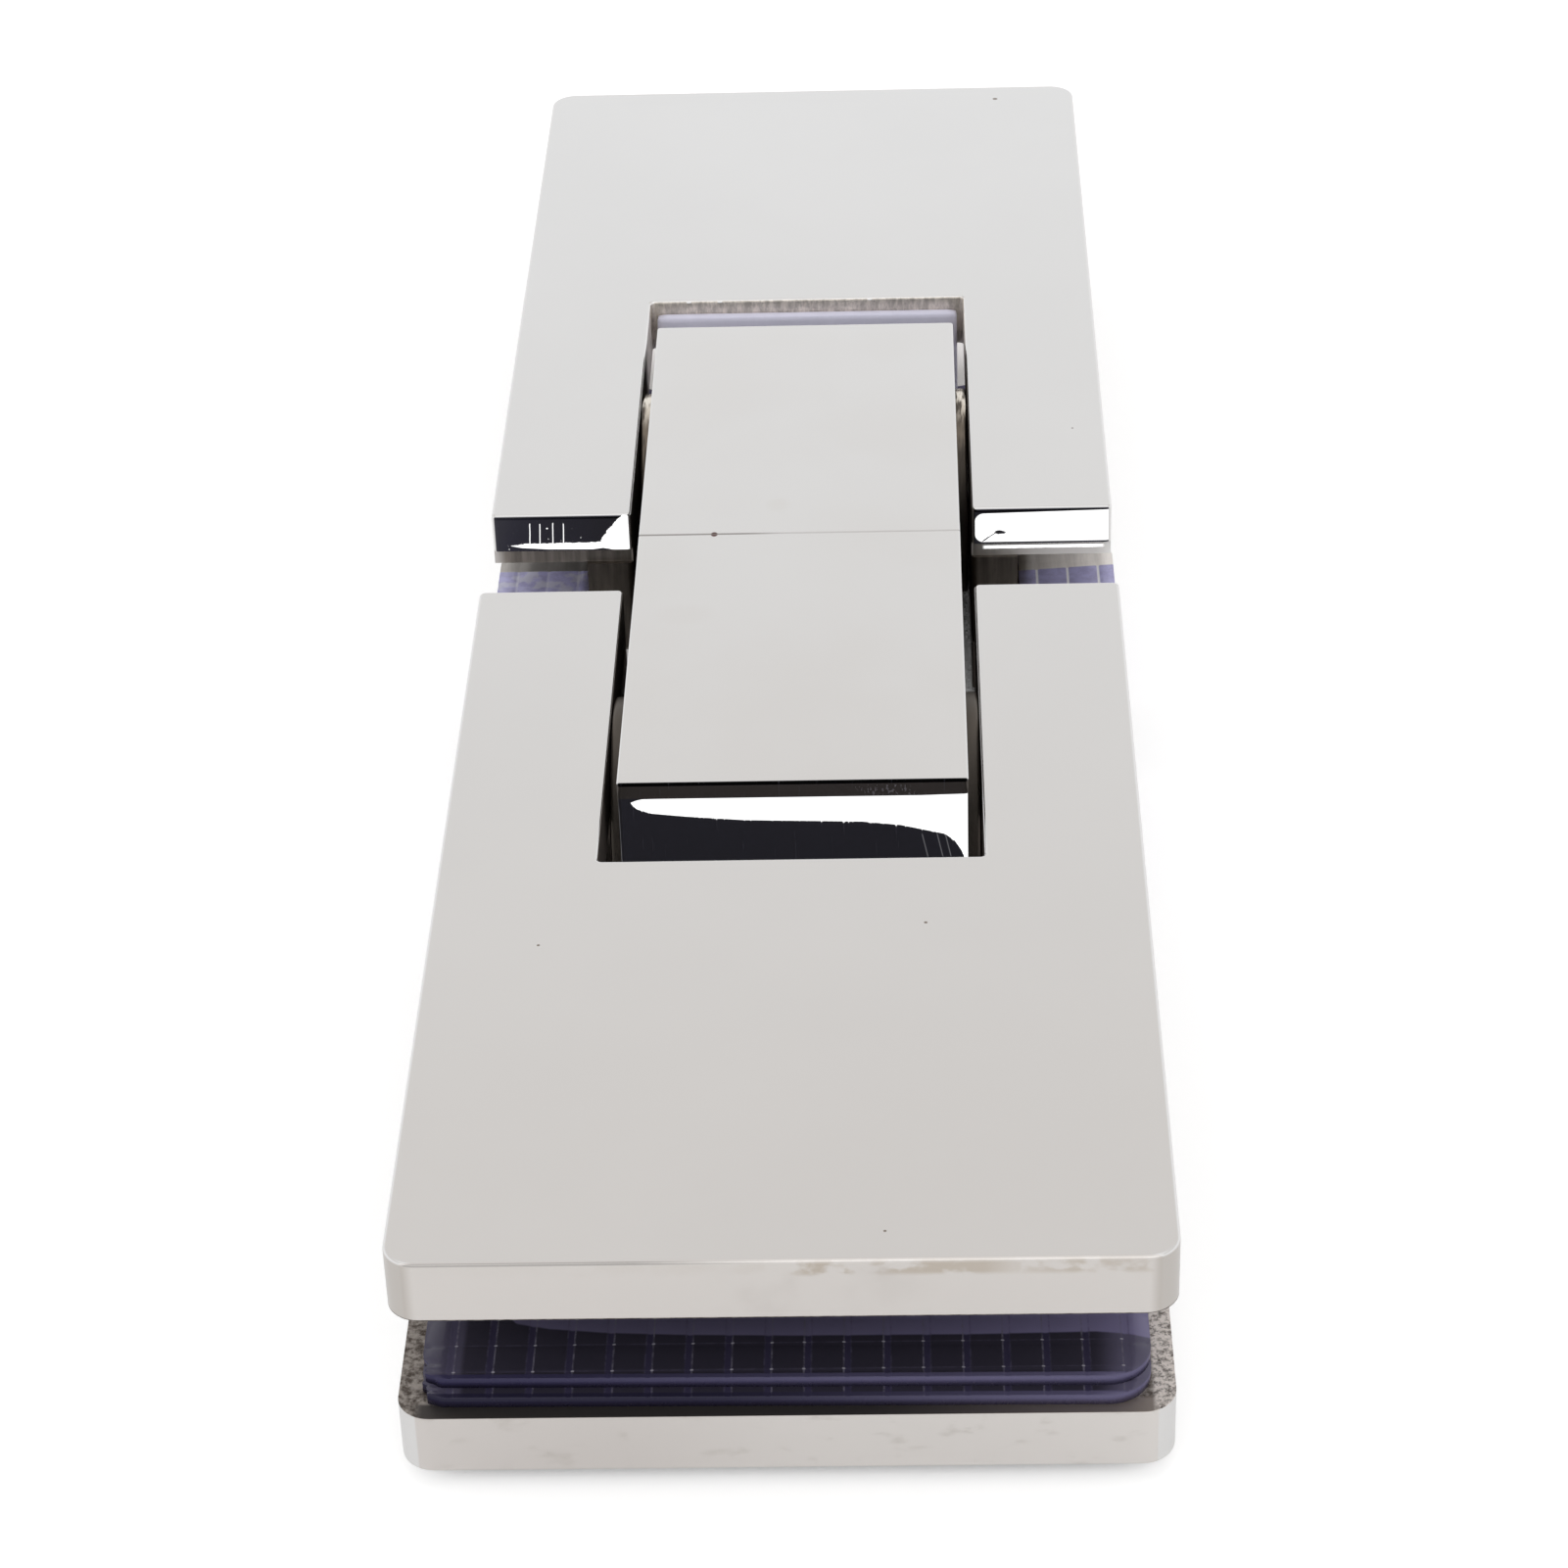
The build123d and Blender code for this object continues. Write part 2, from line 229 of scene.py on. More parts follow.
class Finish(Nodes):
    """One material. x, y, z are the place on the piece in millimetres, and where is all three."""

    def __init__(self, name, colour, rough):
        self.material = bpy.data.materials.new(name)
        self.material.use_nodes = True
        super().__init__(self.material.node_tree)
        place = self.add("TexCoord", output="Object")
        self.where = self.add("VectorMath", {"operation": "SCALE"}, {0: place, "Scale": 1 / mm})
        self.x = self.add("SeparateXYZ", {}, {0: self.where})
        self.y, self.z = self.x.outlet("Y"), self.x.outlet("Z")
        self.colour, self.rough = colour, rough

    def grain(self, scale, detail=3.0, roughness=0.55, stretch=(1, 1, 1), seat=(0, 0, 0)):
        """Noise of scale cells per millimetre, drawn out along an axis where stretch is small."""
        place = self.add("Mapping", {}, {"Vector": self.where, "Location": seat, "Scale": stretch})
        return self.add(
            "TexNoise", {}, {"Vector": place, "Scale": scale, "Detail": detail, "Roughness": roughness}
        )

    def paint(self, mask, colour, rough=None):
        """Lay a colour, and a roughness where one is given, over the finish where mask is 1."""
        self.colour = self.mix(mask, self.colour, colour)
        if rough is not None:
            self.rough = self.rough + mask * (rough - self.rough)

    def bump(self, height, depth):
        """A normal for a height of 0 to 1 that stands for depth millimetres."""
        return self.add("Bump", {}, {"Height": height, "Distance": depth * mm})

    def surface(self, **sockets):
        """A Principled shader. The name of a socket is written with underscores."""
        inputs = {name.replace("_", " "): value for name, value in sockets.items()}
        inputs = {"Base Color": self.colour, "Roughness": self.rough, **inputs}
        return self.add("BsdfPrincipled", {}, inputs)

    def glint(self, plain, mask, facing):
        """The plain shader, and where mask is 1 a painted highlight: a clean mirror that leans up
        to the lamp.
        """
        up = math.radians(lamp_lean)
        normal = (0.0, facing * math.cos(up), math.sin(up))
        leaning = self.add(
            "NormalMap", {"space": "OBJECT"}, {"Color": tuple(0.5 + 0.5 * n for n in normal)}
        )
        mirror = self.add(
            "BsdfPrincipled",
            {},
            {"Base Color": lamp_steel, "Metallic": 1.0, "Roughness": 0.03, "Normal": leaning},
        )
        return self.add("MixShader", {}, {0: mask, 1: plain, 2: mirror})

    def done(self, shader):
        self.add("OutputMaterial", {}, {"Surface": shader})
        return self.material


# Finishes of steel. The lean of the mirror that paints highlights of the lamp is in degrees. The dark
# mirrored ends give off room_light, painted light of the room that the tent doesn't have.

lamp_lean = 38
lamp_steel = (0.95, 0.95, 0.95)
mirror_steel = (0.80, 0.795, 0.79)
hazy_steel = (0.785, 0.78, 0.775)
end_steel = (0.715, 0.685, 0.66)
cloudy_end = (0.61, 0.575, 0.55)
corner_shade = (0.52, 0.485, 0.45)
stain_brown = (0.53, 0.47, 0.40)
edge_dark_reflection = (0.22, 0.21, 0.20)
speck_brown = (0.30, 0.26, 0.23)
mirrored_dark = (0.027, 0.027, 0.034)
room_light = (0.0122, 0.0118, 0.0145)
brushed_dark = (0.07, 0.062, 0.052)
brushed_light = (0.40, 0.36, 0.32)
raw_dark = (0.16, 0.13, 0.11)
raw_light = (0.72, 0.66, 0.61)
notch_cream = (1.0, 0.955, 0.87)
notch_shade = (0.050, 0.042, 0.036)
rebate_cream = (1.0, 0.985, 0.965)
back_haze = (0.77, 0.765, 0.76)
back_end_left, back_end_right = (0.705, 0.67, 0.645), (0.765, 0.735, 0.71)
smudge_brown = (0.585, 0.55, 0.515)
shaded_rim_left, shaded_rim_right = (0.125, 0.115, 0.110), (0.40, 0.35, 0.32)
pitted_cream = (1.0, 0.94, 0.90)
ear_dark, ear_light = (0.03, 0.027, 0.023), (0.20, 0.175, 0.15)
block_haze = (0.785, 0.775, 0.765)
block_rim_reflection, block_brown_reflection = (0.004, 0.004, 0.004), (0.05, 0.042, 0.038)
block_brown_light = (0.018, 0.016, 0.0145)
scratch_grey, hatch_grey, nick_light = (0.10, 0.10, 0.115), (0.30, 0.29, 0.28), (0.16, 0.16, 0.17)
side_shade_dark, side_shade_light = (0.035, 0.030, 0.026), (0.085, 0.072, 0.060)
seam_grime = (0.20, 0.185, 0.175)
bush_shade_brown, bush_lit_brown = (0.110, 0.095, 0.080), (0.20, 0.165, 0.13)
bush_highlight = (0.80, 0.74, 0.65)
zinc, zinc_streak = (0.62, 0.61, 0.60), (0.45, 0.44, 0.43)
pin_steel, pin_streak = (0.66, 0.65, 0.64), (0.50, 0.49, 0.48)
wire_steel, wire_streak = (0.36, 0.35, 0.35), (0.20, 0.19, 0.19)


def add_raw_steel(f, mask, scale, brightness=1.0, stretch=(1, 1, 1)):
    """Lay milled or cast steel over a finish where mask is 1. Returns its height."""
    grains = f.grain(scale, detail=6.0, roughness=0.7, stretch=stretch)
    dark, light = (tuple(brightness * c for c in colour) for colour in (raw_dark, raw_light))
    f.paint(mask, f.mix(f.step(grains, 0.36, 0.64), dark, light), 0.45 + grains * 0.25)
    return grains * mask


# Small dark specks on the fronts of the plates: place in x and y, and size.
specks = {
    -1: [((10.4, -56.7), 0.17), ((-19.0, -59.0), 0.15), ((7.2, -93.4), 0.14)],
    1: [((19.3, 93.4), 0.30), ((24.6, 21.0), 0.12)],
}


def inner_end_glints(f, across, along):
    """Painted highlights on the polished inner end of a front plate, where it throws the lamp back.

    Left of the block a slanted patch with a narrow tongue and four scratches, right of it the whole
    face but for its rim, a fleck and its tail. Below both runs a cream line, a painted highlight at the
    top of the rebate.
    """
    ragged = f.grain(1.4, detail=5.0, roughness=0.7) - 0.5
    slant = f.curve(
        f.z,
        [(17.0, -16.6), (17.3, -18.1), (18.05, -17.9), (18.65, -17.4), (19.35, -17.0), (20.6, -15.9)],
    )
    patch = f.step(across - slant - ragged * 0.9, 0.0, 0.08)
    tongue_top = f.curve(across, [(-26.0, 17.55), (-24.7, 17.78), (-17.0, 17.86)])
    tongue_base = f.curve(
        across, [(-26.0, 17.55), (-25.0, 17.32), (-22.6, 17.14), (-18.6, 17.08), (-17.0, 17.3)]
    )
    below_top = f.step(f.z - tongue_top - ragged * 0.35, 0.0, -0.06)
    tongue = f.step(f.z - tongue_base, 0.0, 0.05) * below_top
    left = f.larger(patch * f.step(across, -14.9, -15.1), tongue * f.between(across, -25.9, -17.0))
    ends = f.step(f.z - ragged * 0.8, 19.9, 19.8) * f.step(f.z, 17.3, 17.6)
    for place in (-24.15, -23.25, -22.1, -21.15):
        scratch = f.step(abs(across - place - (f.z - 19.0) * 0.05 - ragged * 0.06), 0.06, 0.015)
        left = f.larger(left, scratch * ends)
    left = f.larger(left, f.spot(across, f.z, (-22.6, 19.3), (0.10, 0.08)))
    crumbs = f.step(f.grain(3.2, detail=2.0), 0.70, 0.74) * f.between(f.z, 17.3, 19.0, 0.4)
    left = f.larger(left, crumbs * f.between(across, -26.2, -17.0, 0.6))
    left = left * f.step(across, 0.0, -1.0)

    inward = f.larger(f.larger(16.2 - across, across - 27.6), 0.0)
    upward = f.larger(f.larger(17.95 - f.z, f.z - 19.3 - (across - 16.0) * 0.02), 0.0)
    right = f.step(inward * inward + upward * upward, 0.80**2, 0.74**2) * f.step(across, 0.0, 1.0)
    fleck = f.spot(across, f.z + ragged * 0.5, (17.65, 18.15), (0.62, 0.24))
    tail = f.line(f.z - (across - 16.1) * 0.75 - ragged * 0.3, 17.25, 0.05)
    right = right * (1 - f.larger(fleck, tail * f.between(across, 16.1, 17.2)))
    at_end = f.step(along, inner_end + 0.1, inner_end + 0.04)
    above_rebate = f.step(f.z, rebate_top, rebate_top + 0.08)
    cream = f.between(f.z - ragged * 0.1, rebate_top - 0.70, rebate_top - 0.12, 0.08)
    cream = cream * f.between(across, 16.4, 26.6, 0.4) * 0.9
    in_rebate = f.step(along, inner_end + 0.5, inner_end + 0.44)
    return f.larger(f.larger(left, right) * at_end * above_rebate, cream * in_rebate)


def paint_outer_end(f, along):
    """The outer end of a front plate: plainer steel with stains, darkened partly as painted shade of the
    floor it mirrors, with painted shade on its corners and a painted dark reflection along the left of
    its top edge.
    """
    end = f.step(along, outer_end - 0.3, outer_end - 0.2)
    # Darker steel of the end: partly its own plainer finish, partly painted shade of the floor it mirrors.
    f.paint(end, end_steel, 0.24)
    # Painted shade where the plate's corners round off at the end.
    turn = f.step(abs(f.x), 25.2, 26.2) * f.step(along, outer_end - 2.6, outer_end - 2.2)
    f.paint(turn * f.step(f.z, front_face - 0.1, front_face - 0.3) * 0.8, corner_shade)
    stain = f.grain(0.45, detail=4.0, stretch=(1, 1, 1.6), seat=(7, 0, 3))
    under_edge = f.between(f.z, front_face - 1.0, front_face - 0.4, 0.5)
    stained = f.curve(
        f.x,
        [(-28.0, 0.0), (-1.0, 0.12), (2.0, 0.9), (14.0, 0.8), (16.0, 0.3), (20.0, 0.75), (28.0, 0.5)],
    )
    f.paint(end * under_edge * stained * f.step(stain, 0.42, 0.60), stain_brown)
    f.paint(end * f.step(f.grain(0.12, detail=4.0), 0.55, 0.75) * 0.5, cloudy_end)
    # Painted reflection: the fillet of the top edge mirrors dark on its left.
    edge = f.step(along, outer_end - 0.22, outer_end - 0.12)
    edge = edge * f.step(f.z, front_face - 0.26, front_face - 0.16)
    edge_reflection_share = f.curve(f.x, [(-28.0, 0.55), (-10.0, 0.65), (-4.0, 0.25), (1.0, 0.0), (28.0, 0.0)])
    f.paint(edge * edge_reflection_share, edge_dark_reflection)


def paint_notch(f, across, along, side):
    """The walls of the notch: pale milled steel with bright nicks on the end wall, and sides painted dark
    and dull as the shade of the narrow slots.

    Returns the masks of all the walls and of the dull ones, and the height of the milling.
    """
    in_notch = (
        f.step(abs(f.x), notch_half_width + 0.16, notch_half_width + 0.08)
        * f.step(along, notch_wall + 0.16, notch_wall + 0.08)
        * f.step(f.z, front_face - 0.05, front_face - 0.12)
    )
    milled = add_raw_steel(f, in_notch, 2.0, 1.2, (1.0, 1.0, 0.4))
    side_wall = in_notch * f.step(along, notch_wall - 0.1, notch_wall - 0.3)
    dull = side_wall * (f.step(along, 38.5, 35.0) if side > 0 else 1.0)
    f.paint(in_notch * 0.5, notch_cream)
    # Painted shade: the side walls face the narrow dark slots.
    f.paint(dull, notch_shade, 0.7)
    for place in (-15.0, -11.4, -8.4, 6.1):
        nick = f.spot(across, f.z, (place, front_face - 0.12), (0.3, 0.14))
        f.paint(nick * in_notch, white)
    return in_notch, dull, milled


def paint_rebate(f, across, along):
    """The brushed strip in the rebate of the inner end, with painted light: lighter towards both ends,
    and pale, plain and less metallic there, most to the right. Returns the mask of its pale, plain part.
    """
    in_rebate = f.step(along, inner_end + 0.55, inner_end + 0.45)
    in_rebate = in_rebate * f.step(f.z, rebate_top + 0.02, rebate_top - 0.04)
    brush = f.grain(1.5, detail=4.0, stretch=(1.0, 1.0, 0.08))
    # Painted light: the brushed strip is lighter towards its ends.
    bright = f.curve(
        across,
        [
            (-28.0, 1.0), (-27.2, 0.9), (-26.6, 0.45), (-24.5, 0.3), (-20.0, 0.35), (-16.0, 0.3),
            (15.0, 0.3), (18.0, 0.5), (21.0, 0.75), (26.0, 0.85), (28.0, 1.2),
        ],
    )
    brushed = f.mix(f.step(brush * 0.6 + bright * 0.8, 0.2, 0.95), brushed_dark, brushed_light)
    f.paint(in_rebate, brushed, 0.42)
    # Painted light: pale, plain cream at the ends, most to the right.
    pale = in_rebate * f.curve(
        across,
        [
            (-28.0, 0.5), (-27.3, 0.5), (-26.6, 0.0), (15.0, 0.1),
            (18.0, 0.4), (21.0, 0.6), (26.2, 0.7), (27.5, 1.0),
        ],
    )
    f.paint(pale, rebate_cream, 0.35)
    return pale


def polished_plate(name, side):
    """A front plate: mirror polish outside, milled steel where nobody polished."""
    f = Finish(name, mirror_steel, 0.12)
    across, along = f.x * side, f.y * side
    haze = f.grain(0.5, detail=5.0, roughness=0.6)
    hairs = f.grain(3.0, detail=2.0, stretch=(1.0, 0.06, 1.0))
    f.paint(f.step(f.grain(0.035), 0.3, 0.7), hazy_steel)
    f.rough = f.rough + haze * 0.06
    for place, size in specks[side]:
        f.paint(f.spot(f.x, f.y, place, (size, size)), speck_brown)
    paint_outer_end(f, along)
    in_notch, dull, milled = paint_notch(f, across, along, side)
    under = f.step(f.z, front_inner + 0.1, front_inner + 0.04)
    raw = milled + add_raw_steel(f, under, 1.6, 0.35)

    inner = f.step(along, inner_end + 0.12, inner_end + 0.05) * (1 - in_notch)
    polished_inner = inner * f.step(f.z, front_face - 0.02, front_face - 0.15)
    # Painted reflection: the polished inner end is painted dark for the dark gap it mirrors.
    f.paint(polished_inner, mirrored_dark)
    pale = paint_rebate(f, across, along)

    normal = f.bump(haze * 0.25 + hairs * 0.1 + raw * 10.0, 0.002)
    top_rim = f.step(f.z, front_face - 0.45, front_face - 0.3)
    beside_block = f.step(across, 15.5, 15.3) * f.step(across, 0, 1)
    lit = polished_inner * (1 - f.larger(top_rim, beside_block))
    plain = f.surface(
        Metallic=1.0 - f.larger(dull, pale * 0.9),
        Specular_IOR_Level=0.15,
        Normal=normal,
        Emission_Color=f.mix(lit, no_light, tuple(1.4 * c for c in room_light)),
        Emission_Strength=1.0,
    )
    return f.done(f.glint(plain, inner_end_glints(f, across, along), -side))


def cast_back(name, side):
    """A back plate: polished rim and back, raw where the gaskets lie, brushed ears, and painted shade on
    the ears, the end face and the inner face along the outer end.
    """
    f = Finish(name, mirror_steel, 0.14)
    along = f.y * side
    haze = f.grain(0.5, detail=5.0, roughness=0.6)
    f.paint(haze, back_haze)
    end = f.step(along, outer_end - 0.3, outer_end - 0.2)
    # The end is darker than the polish, and more to the left: plainer steel and painted shade of the floor
    # it mirrors.
    f.paint(end, f.mix(f.step(f.x, -14.0, 4.0), back_end_left, back_end_right), 0.26)
    smudge = f.grain(0.3, detail=5.0, stretch=(1, 1, 2.0), seat=(1, 0, 5))
    f.paint(end * f.step(smudge, 0.55, 0.72) * 0.6, smudge_brown)
    inside = f.step(f.z, back_inner - 0.04, back_inner - 0.01)
    raw = add_raw_steel(f, inside, 1.5, 0.75)
    # Painted shade: the inner face along the outer end lies in the front plate's shadow, darker to the
    # left.
    rim = inside * f.step(along, outer_end - 1.7, outer_end - 1.3) * f.step(abs(f.x), 26.6, 25.6)
    f.paint(rim, f.mix(f.step(f.x, 4.0, 24.0), shaded_rim_left, shaded_rim_right), 0.55)
    pitted = f.step(f.grain(2.4, detail=5.0, roughness=0.8), 0.38, 0.56)
    f.paint(inside * f.step(f.x, 25.7, 26.1) * pitted, pitted_cream)
    brush = f.grain(1.6, detail=4.0, stretch=(1.0, 1.0, 0.06))
    # Brushed ears, painted dark as the shade under the front plate.
    ear = f.step(f.z, back_inner + 0.1, back_inner + 0.2)
    f.paint(ear, f.mix(brush, ear_dark, ear_light), 0.4)
    normal = f.bump(haze * 0.25 + raw * 9.0 + brush * ear * 5.0, 0.002)
    return f.done(f.surface(Metallic=1.0, Normal=normal))


# Marks on the top of the block: place in x and y, size, softness, strength and colour.
block_marks = [
    ((-1.9, 5.0), (1.3, 1.6), 0.9, 0.12, (0.66, 0.62, 0.55)),
    ((-7.4, -0.05), (0.35, 0.45), 0.4, 1.0, (0.10, 0.03, 0.025)),
    ((-9.5, -13.5), (3.2, 2.0), 0.95, 0.15, (0.72, 0.69, 0.66)),
]


def paint_block_top(f):
    """Marks on the top of the block, and the grime along the seam between its halves."""
    top = f.step(f.z, block_top - 0.1, block_top - 0.03)
    for place, size, soft, strength, colour in block_marks:
        f.paint(top * f.spot(f.x, f.y, place, size, soft) * strength, colour)
    seam = f.step(abs(f.y), 0.20, 0.06)
    f.paint(seam * (0.35 + 0.45 * f.step(f.x, -1.0, -5.0)), seam_grime)


def block_end_tongue(f, across, soft):
    """A painted highlight, the lamp's long tongue on the end of the block: between two lines, with a
    softer lower edge.
    """
    top = f.curve(
        across,
        [(-12.94, 20.37), (-12.5, 20.56), (-12.04, 20.68), (-10.87, 20.70), (10.18, 20.69), (14.0, 20.78)],
    )
    base = f.curve(
        across,
        [
            (-12.94, 20.37), (-12.48, 19.75), (-11.33, 19.31), (-8.6, 18.98), (-3.92, 18.56),
            (5.46, 18.26), (8.58, 17.87), (10.92, 17.26), (12.09, 16.96), (12.87, 16.28),
            (13.41, 15.33), (13.61, 14.75), (14.0, 12.0),
        ],
    )
    tongue = f.step((f.z - base) / soft, -1.0, 0.0) * f.step(f.z - top, 0.0, -0.06)
    return tongue * f.step(across, -12.98, -12.9)


def polished_block(name, side):
    """A half block: mirror polish on its top and end, with painted reflections and a painted highlight on
    the end, sides painted dull and dark as the shade of the slots, and marks beside the seam.
    """
    f = Finish(name, mirror_steel, 0.10)
    across = -f.x * side
    haze = f.grain(0.5, detail=5.0, roughness=0.6)
    f.paint(f.step(f.grain(0.06, seat=(3, 1, 0)), 0.3, 0.7), block_haze)
    f.rough = f.rough + haze * 0.05
    paint_block_top(f)

    facing_end = f.step(f.y * side, block_end - 0.12, block_end - 0.06)
    # Painted reflection: the end mirrors the dark notch, with a brown band of the notch wall near the top
    # and black along its top rim.
    f.paint(facing_end, mirrored_dark)
    f.paint(facing_end * f.between(f.z, 20.75, 21.85), block_brown_reflection)
    top_rim = f.step(f.z, block_top - 0.36, block_top - 0.28)
    f.paint(facing_end * top_rim, block_rim_reflection)
    scratches = f.grain(2.2, detail=2.0, stretch=(2.4, 1.0, 0.12))
    f.paint(facing_end * f.step(scratches, 0.66, 0.74) * 0.5, scratch_grey)
    hatch = f.between(across + (f.z - 21.4) * 0.9, 5.4, 9.2, 0.5) * f.between(f.z, 20.8, 21.7, 0.1)
    hatch = hatch * f.step(f.grain(3.5, detail=2.0, stretch=(1.6, 1.0, 0.9)), 0.55, 0.62)
    f.paint(facing_end * hatch, hatch_grey)
    soft = 0.05 + 0.25 * f.step(scratches, 0.55, 0.8)
    tongue = block_end_tongue(f, across, soft) * facing_end

    # Painted shade: the sides face the dark slots.
    on_side = f.step(abs(f.x), block_half_width - 0.12, block_half_width - 0.05)
    on_side = on_side * f.step(f.z, block_top - 0.12, block_top - 0.2)
    grains = f.grain(1.0, detail=5.0, stretch=(1, 0.1, 1))
    f.paint(on_side, f.mix(grains, side_shade_dark, side_shade_light), 0.65)
    normal = f.bump(haze * 0.25 + grains * on_side * 3.0, 0.002)

    glow = f.mix(f.step(f.z, 20.65, 20.8), room_light, block_brown_light)
    nicks = f.between(across, -13.97, -13.90, 0.03) * f.step(f.z, 20.2, 19.5)
    for place in (10.25, 11.45, 12.1):
        scratch = f.line(across + (f.z - 17.0) * 0.2, place, 0.02) * f.between(f.z, 14.9, 16.8, 0.3)
        nicks = f.larger(nicks, scratch * 0.7)
    glow = f.mix(nicks, glow, nick_light)
    plain = f.surface(
        Metallic=1.0 - on_side,
        Specular_IOR_Level=0.15,
        Normal=normal,
        Emission_Color=f.mix(facing_end * (1 - top_rim), no_light, glow),
        Emission_Strength=1.0,
    )
    return f.done(f.glint(plain, tongue, side))


def turned_steel(name, colour, rough, darker):
    """Small turned or ground steel: fine streaks and slightly uneven shine."""
    f = Finish(name, colour, rough)
    streaks = f.grain(2.0, detail=4.0, stretch=(0.15, 1, 1))
    f.paint(f.step(streaks, 0.35, 0.7), darker)
    f.rough = rough + streaks * 0.15
    return f.done(f.surface(Metallic=1.0, Normal=f.bump(streaks, 0.006)))


def bush_with_painted_light(name, side):
    """Dark metal, darkened as painted shade in the slots. The flange of the panel's bushes has painted
    light and painted highlights over its top, where light comes in through the slot.
    """
    f = Finish(name, bush_shade_brown, 0.45)
    along = f.y * side
    on_panel = side > 0
    lit_flange = f.step(along, 16.0, 23.0) if on_panel else 0.0
    flange_highlight = f.step(along, 23.0, 26.0) if on_panel else 0.0
    streaks = f.grain(1.2, detail=4.0, stretch=(3.0, 0.35, 0.35))
    # Painted light and highlights on the top of the panel's flanges.
    f.paint(lit_flange * f.step(streaks, 0.3, 0.6) * 0.9, bush_lit_brown, 0.30)
    f.paint(flange_highlight * f.step(streaks, 0.40, 0.56), bush_highlight, 0.20)
    oily = f.surface(
        Metallic=0.45 + 0.55 * lit_flange, Specular_IOR_Level=0.2, Normal=f.bump(streaks, 0.01)
    )
    return f.done(oily)


# Finishes of soft plastic.

shaded_cell_dark = (0.034, 0.031, 0.047)
groove_violet = (0.040, 0.035, 0.070)
side_violet = (0.110, 0.100, 0.160)
deep_left, deep_right = (0.140, 0.127, 0.215), (0.205, 0.185, 0.325)
lit_leg_lavender = (0.47, 0.455, 0.73)
leg_milky = (0.66, 0.66, 0.74)
leg_groove_glint = (0.95, 0.95, 1.0)
shade_strip_pale = (0.98, 0.93, 0.89)
wall_lit, wall_other, wall_row = (0.16, 0.15, 0.20), (0.10, 0.09, 0.15), (0.10, 0.09, 0.14)
crossing_light = (0.36, 0.35, 0.41)
edge_light_upper, edge_light_lower = (0.036, 0.032, 0.080), (0.018, 0.016, 0.038)
edge_light_right = (0.125, 0.113, 0.205)
edge_dark_left, edge_dark_right = (0.022, 0.019, 0.044), (0.070, 0.062, 0.115)
pad_lilac_deep, pad_lilac_pale = (0.62, 0.61, 0.74), (0.74, 0.73, 0.87)
nylon, nylon_pale = (0.80, 0.79, 0.77), (0.88, 0.87, 0.85)
glow_low, glow_high = (0.26, 0.25, 0.23), (0.60, 0.58, 0.565)


def paint_bands(f, along):
    """Lighter violet deep in the glass slot and beside the sides of the plates."""
    deep_line = f.curve(
        f.x,
        [
            (-21.0, 86.0), (-19.4, 88.5), (-17.0, 89.1), (-12.8, 89.6), (-7.2, 89.9),
            (0.5, 90.1), (13.7, 90.15), (22.0, 90.0), (24.3, 90.3), (28.0, 91.5),
        ],
    )
    beside = f.larger(f.step(-f.x, 22.7, 23.2) * 0.5, f.step(f.x, 21.6, 24.0) * 0.9)
    f.paint(beside, side_violet)
    band = f.mix(f.step(f.x, -10.0, 26.0), deep_left, deep_right)
    f.paint(f.step(along - deep_line, 0.12, -0.12), band)


def paint_groove_walls(f, along, from_column):
    """A thin patchy light on the walls of the grooves, strongest where two grooves cross."""
    from_row = f.from_nearest(along, first_row)
    to_wall = f.x.math("SIGN", f.x) * (groove_half - 0.02)
    lit_wall = abs(from_column + to_wall)
    other_wall = abs(from_column - to_wall)
    patchy = f.step(f.grain(1.3, detail=5.0, roughness=0.7, seat=(2, 5, 1)), 0.42, 0.62)
    f.paint(f.step(lit_wall, 0.09, 0.04) * (0.20 + 0.55 * patchy), wall_lit)
    f.paint(f.step(other_wall, 0.09, 0.04) * (0.08 + 0.35 * patchy), wall_other)
    row_wall = f.step(abs(from_row + groove_half * 0.1), 0.09, 0.04)
    f.paint(row_wall * (0.12 + 0.2 * patchy), wall_row)
    f.paint(row_wall * f.step(lit_wall, 0.16, 0.05), crossing_light)


def paint_edges(f, along, low, high, end, lean):
    """The cut edge of a sheet and the lip along its closed end, both lighter to the right as painted
    light; the edge lighter towards its top as a painted highlight, and darker on the lower sheet as
    painted shade.
    """
    upper = high > back_inner + 1.0
    rightwards = f.step(f.x, -26.0, 27.0) if upper else f.step(f.x, -8.0, 30.0)
    light = f.mix(rightwards, edge_light_upper if upper else edge_light_lower, edge_light_right)
    dark = f.mix(rightwards, edge_dark_left, edge_dark_right)
    lip = f.step(along - lean * (f.x - lean_from_x), end - 0.5, end - 0.35)
    f.paint(lip * 0.85, light, 0.22)
    # Painted highlight: the edge is lighter towards its top.
    rim = f.step(f.z, high - groove_depth - 0.02, high - groove_depth - 0.06)
    f.paint(rim, f.mix(f.step(f.z, low + 0.1, high - 0.15), dark, light), 0.22)


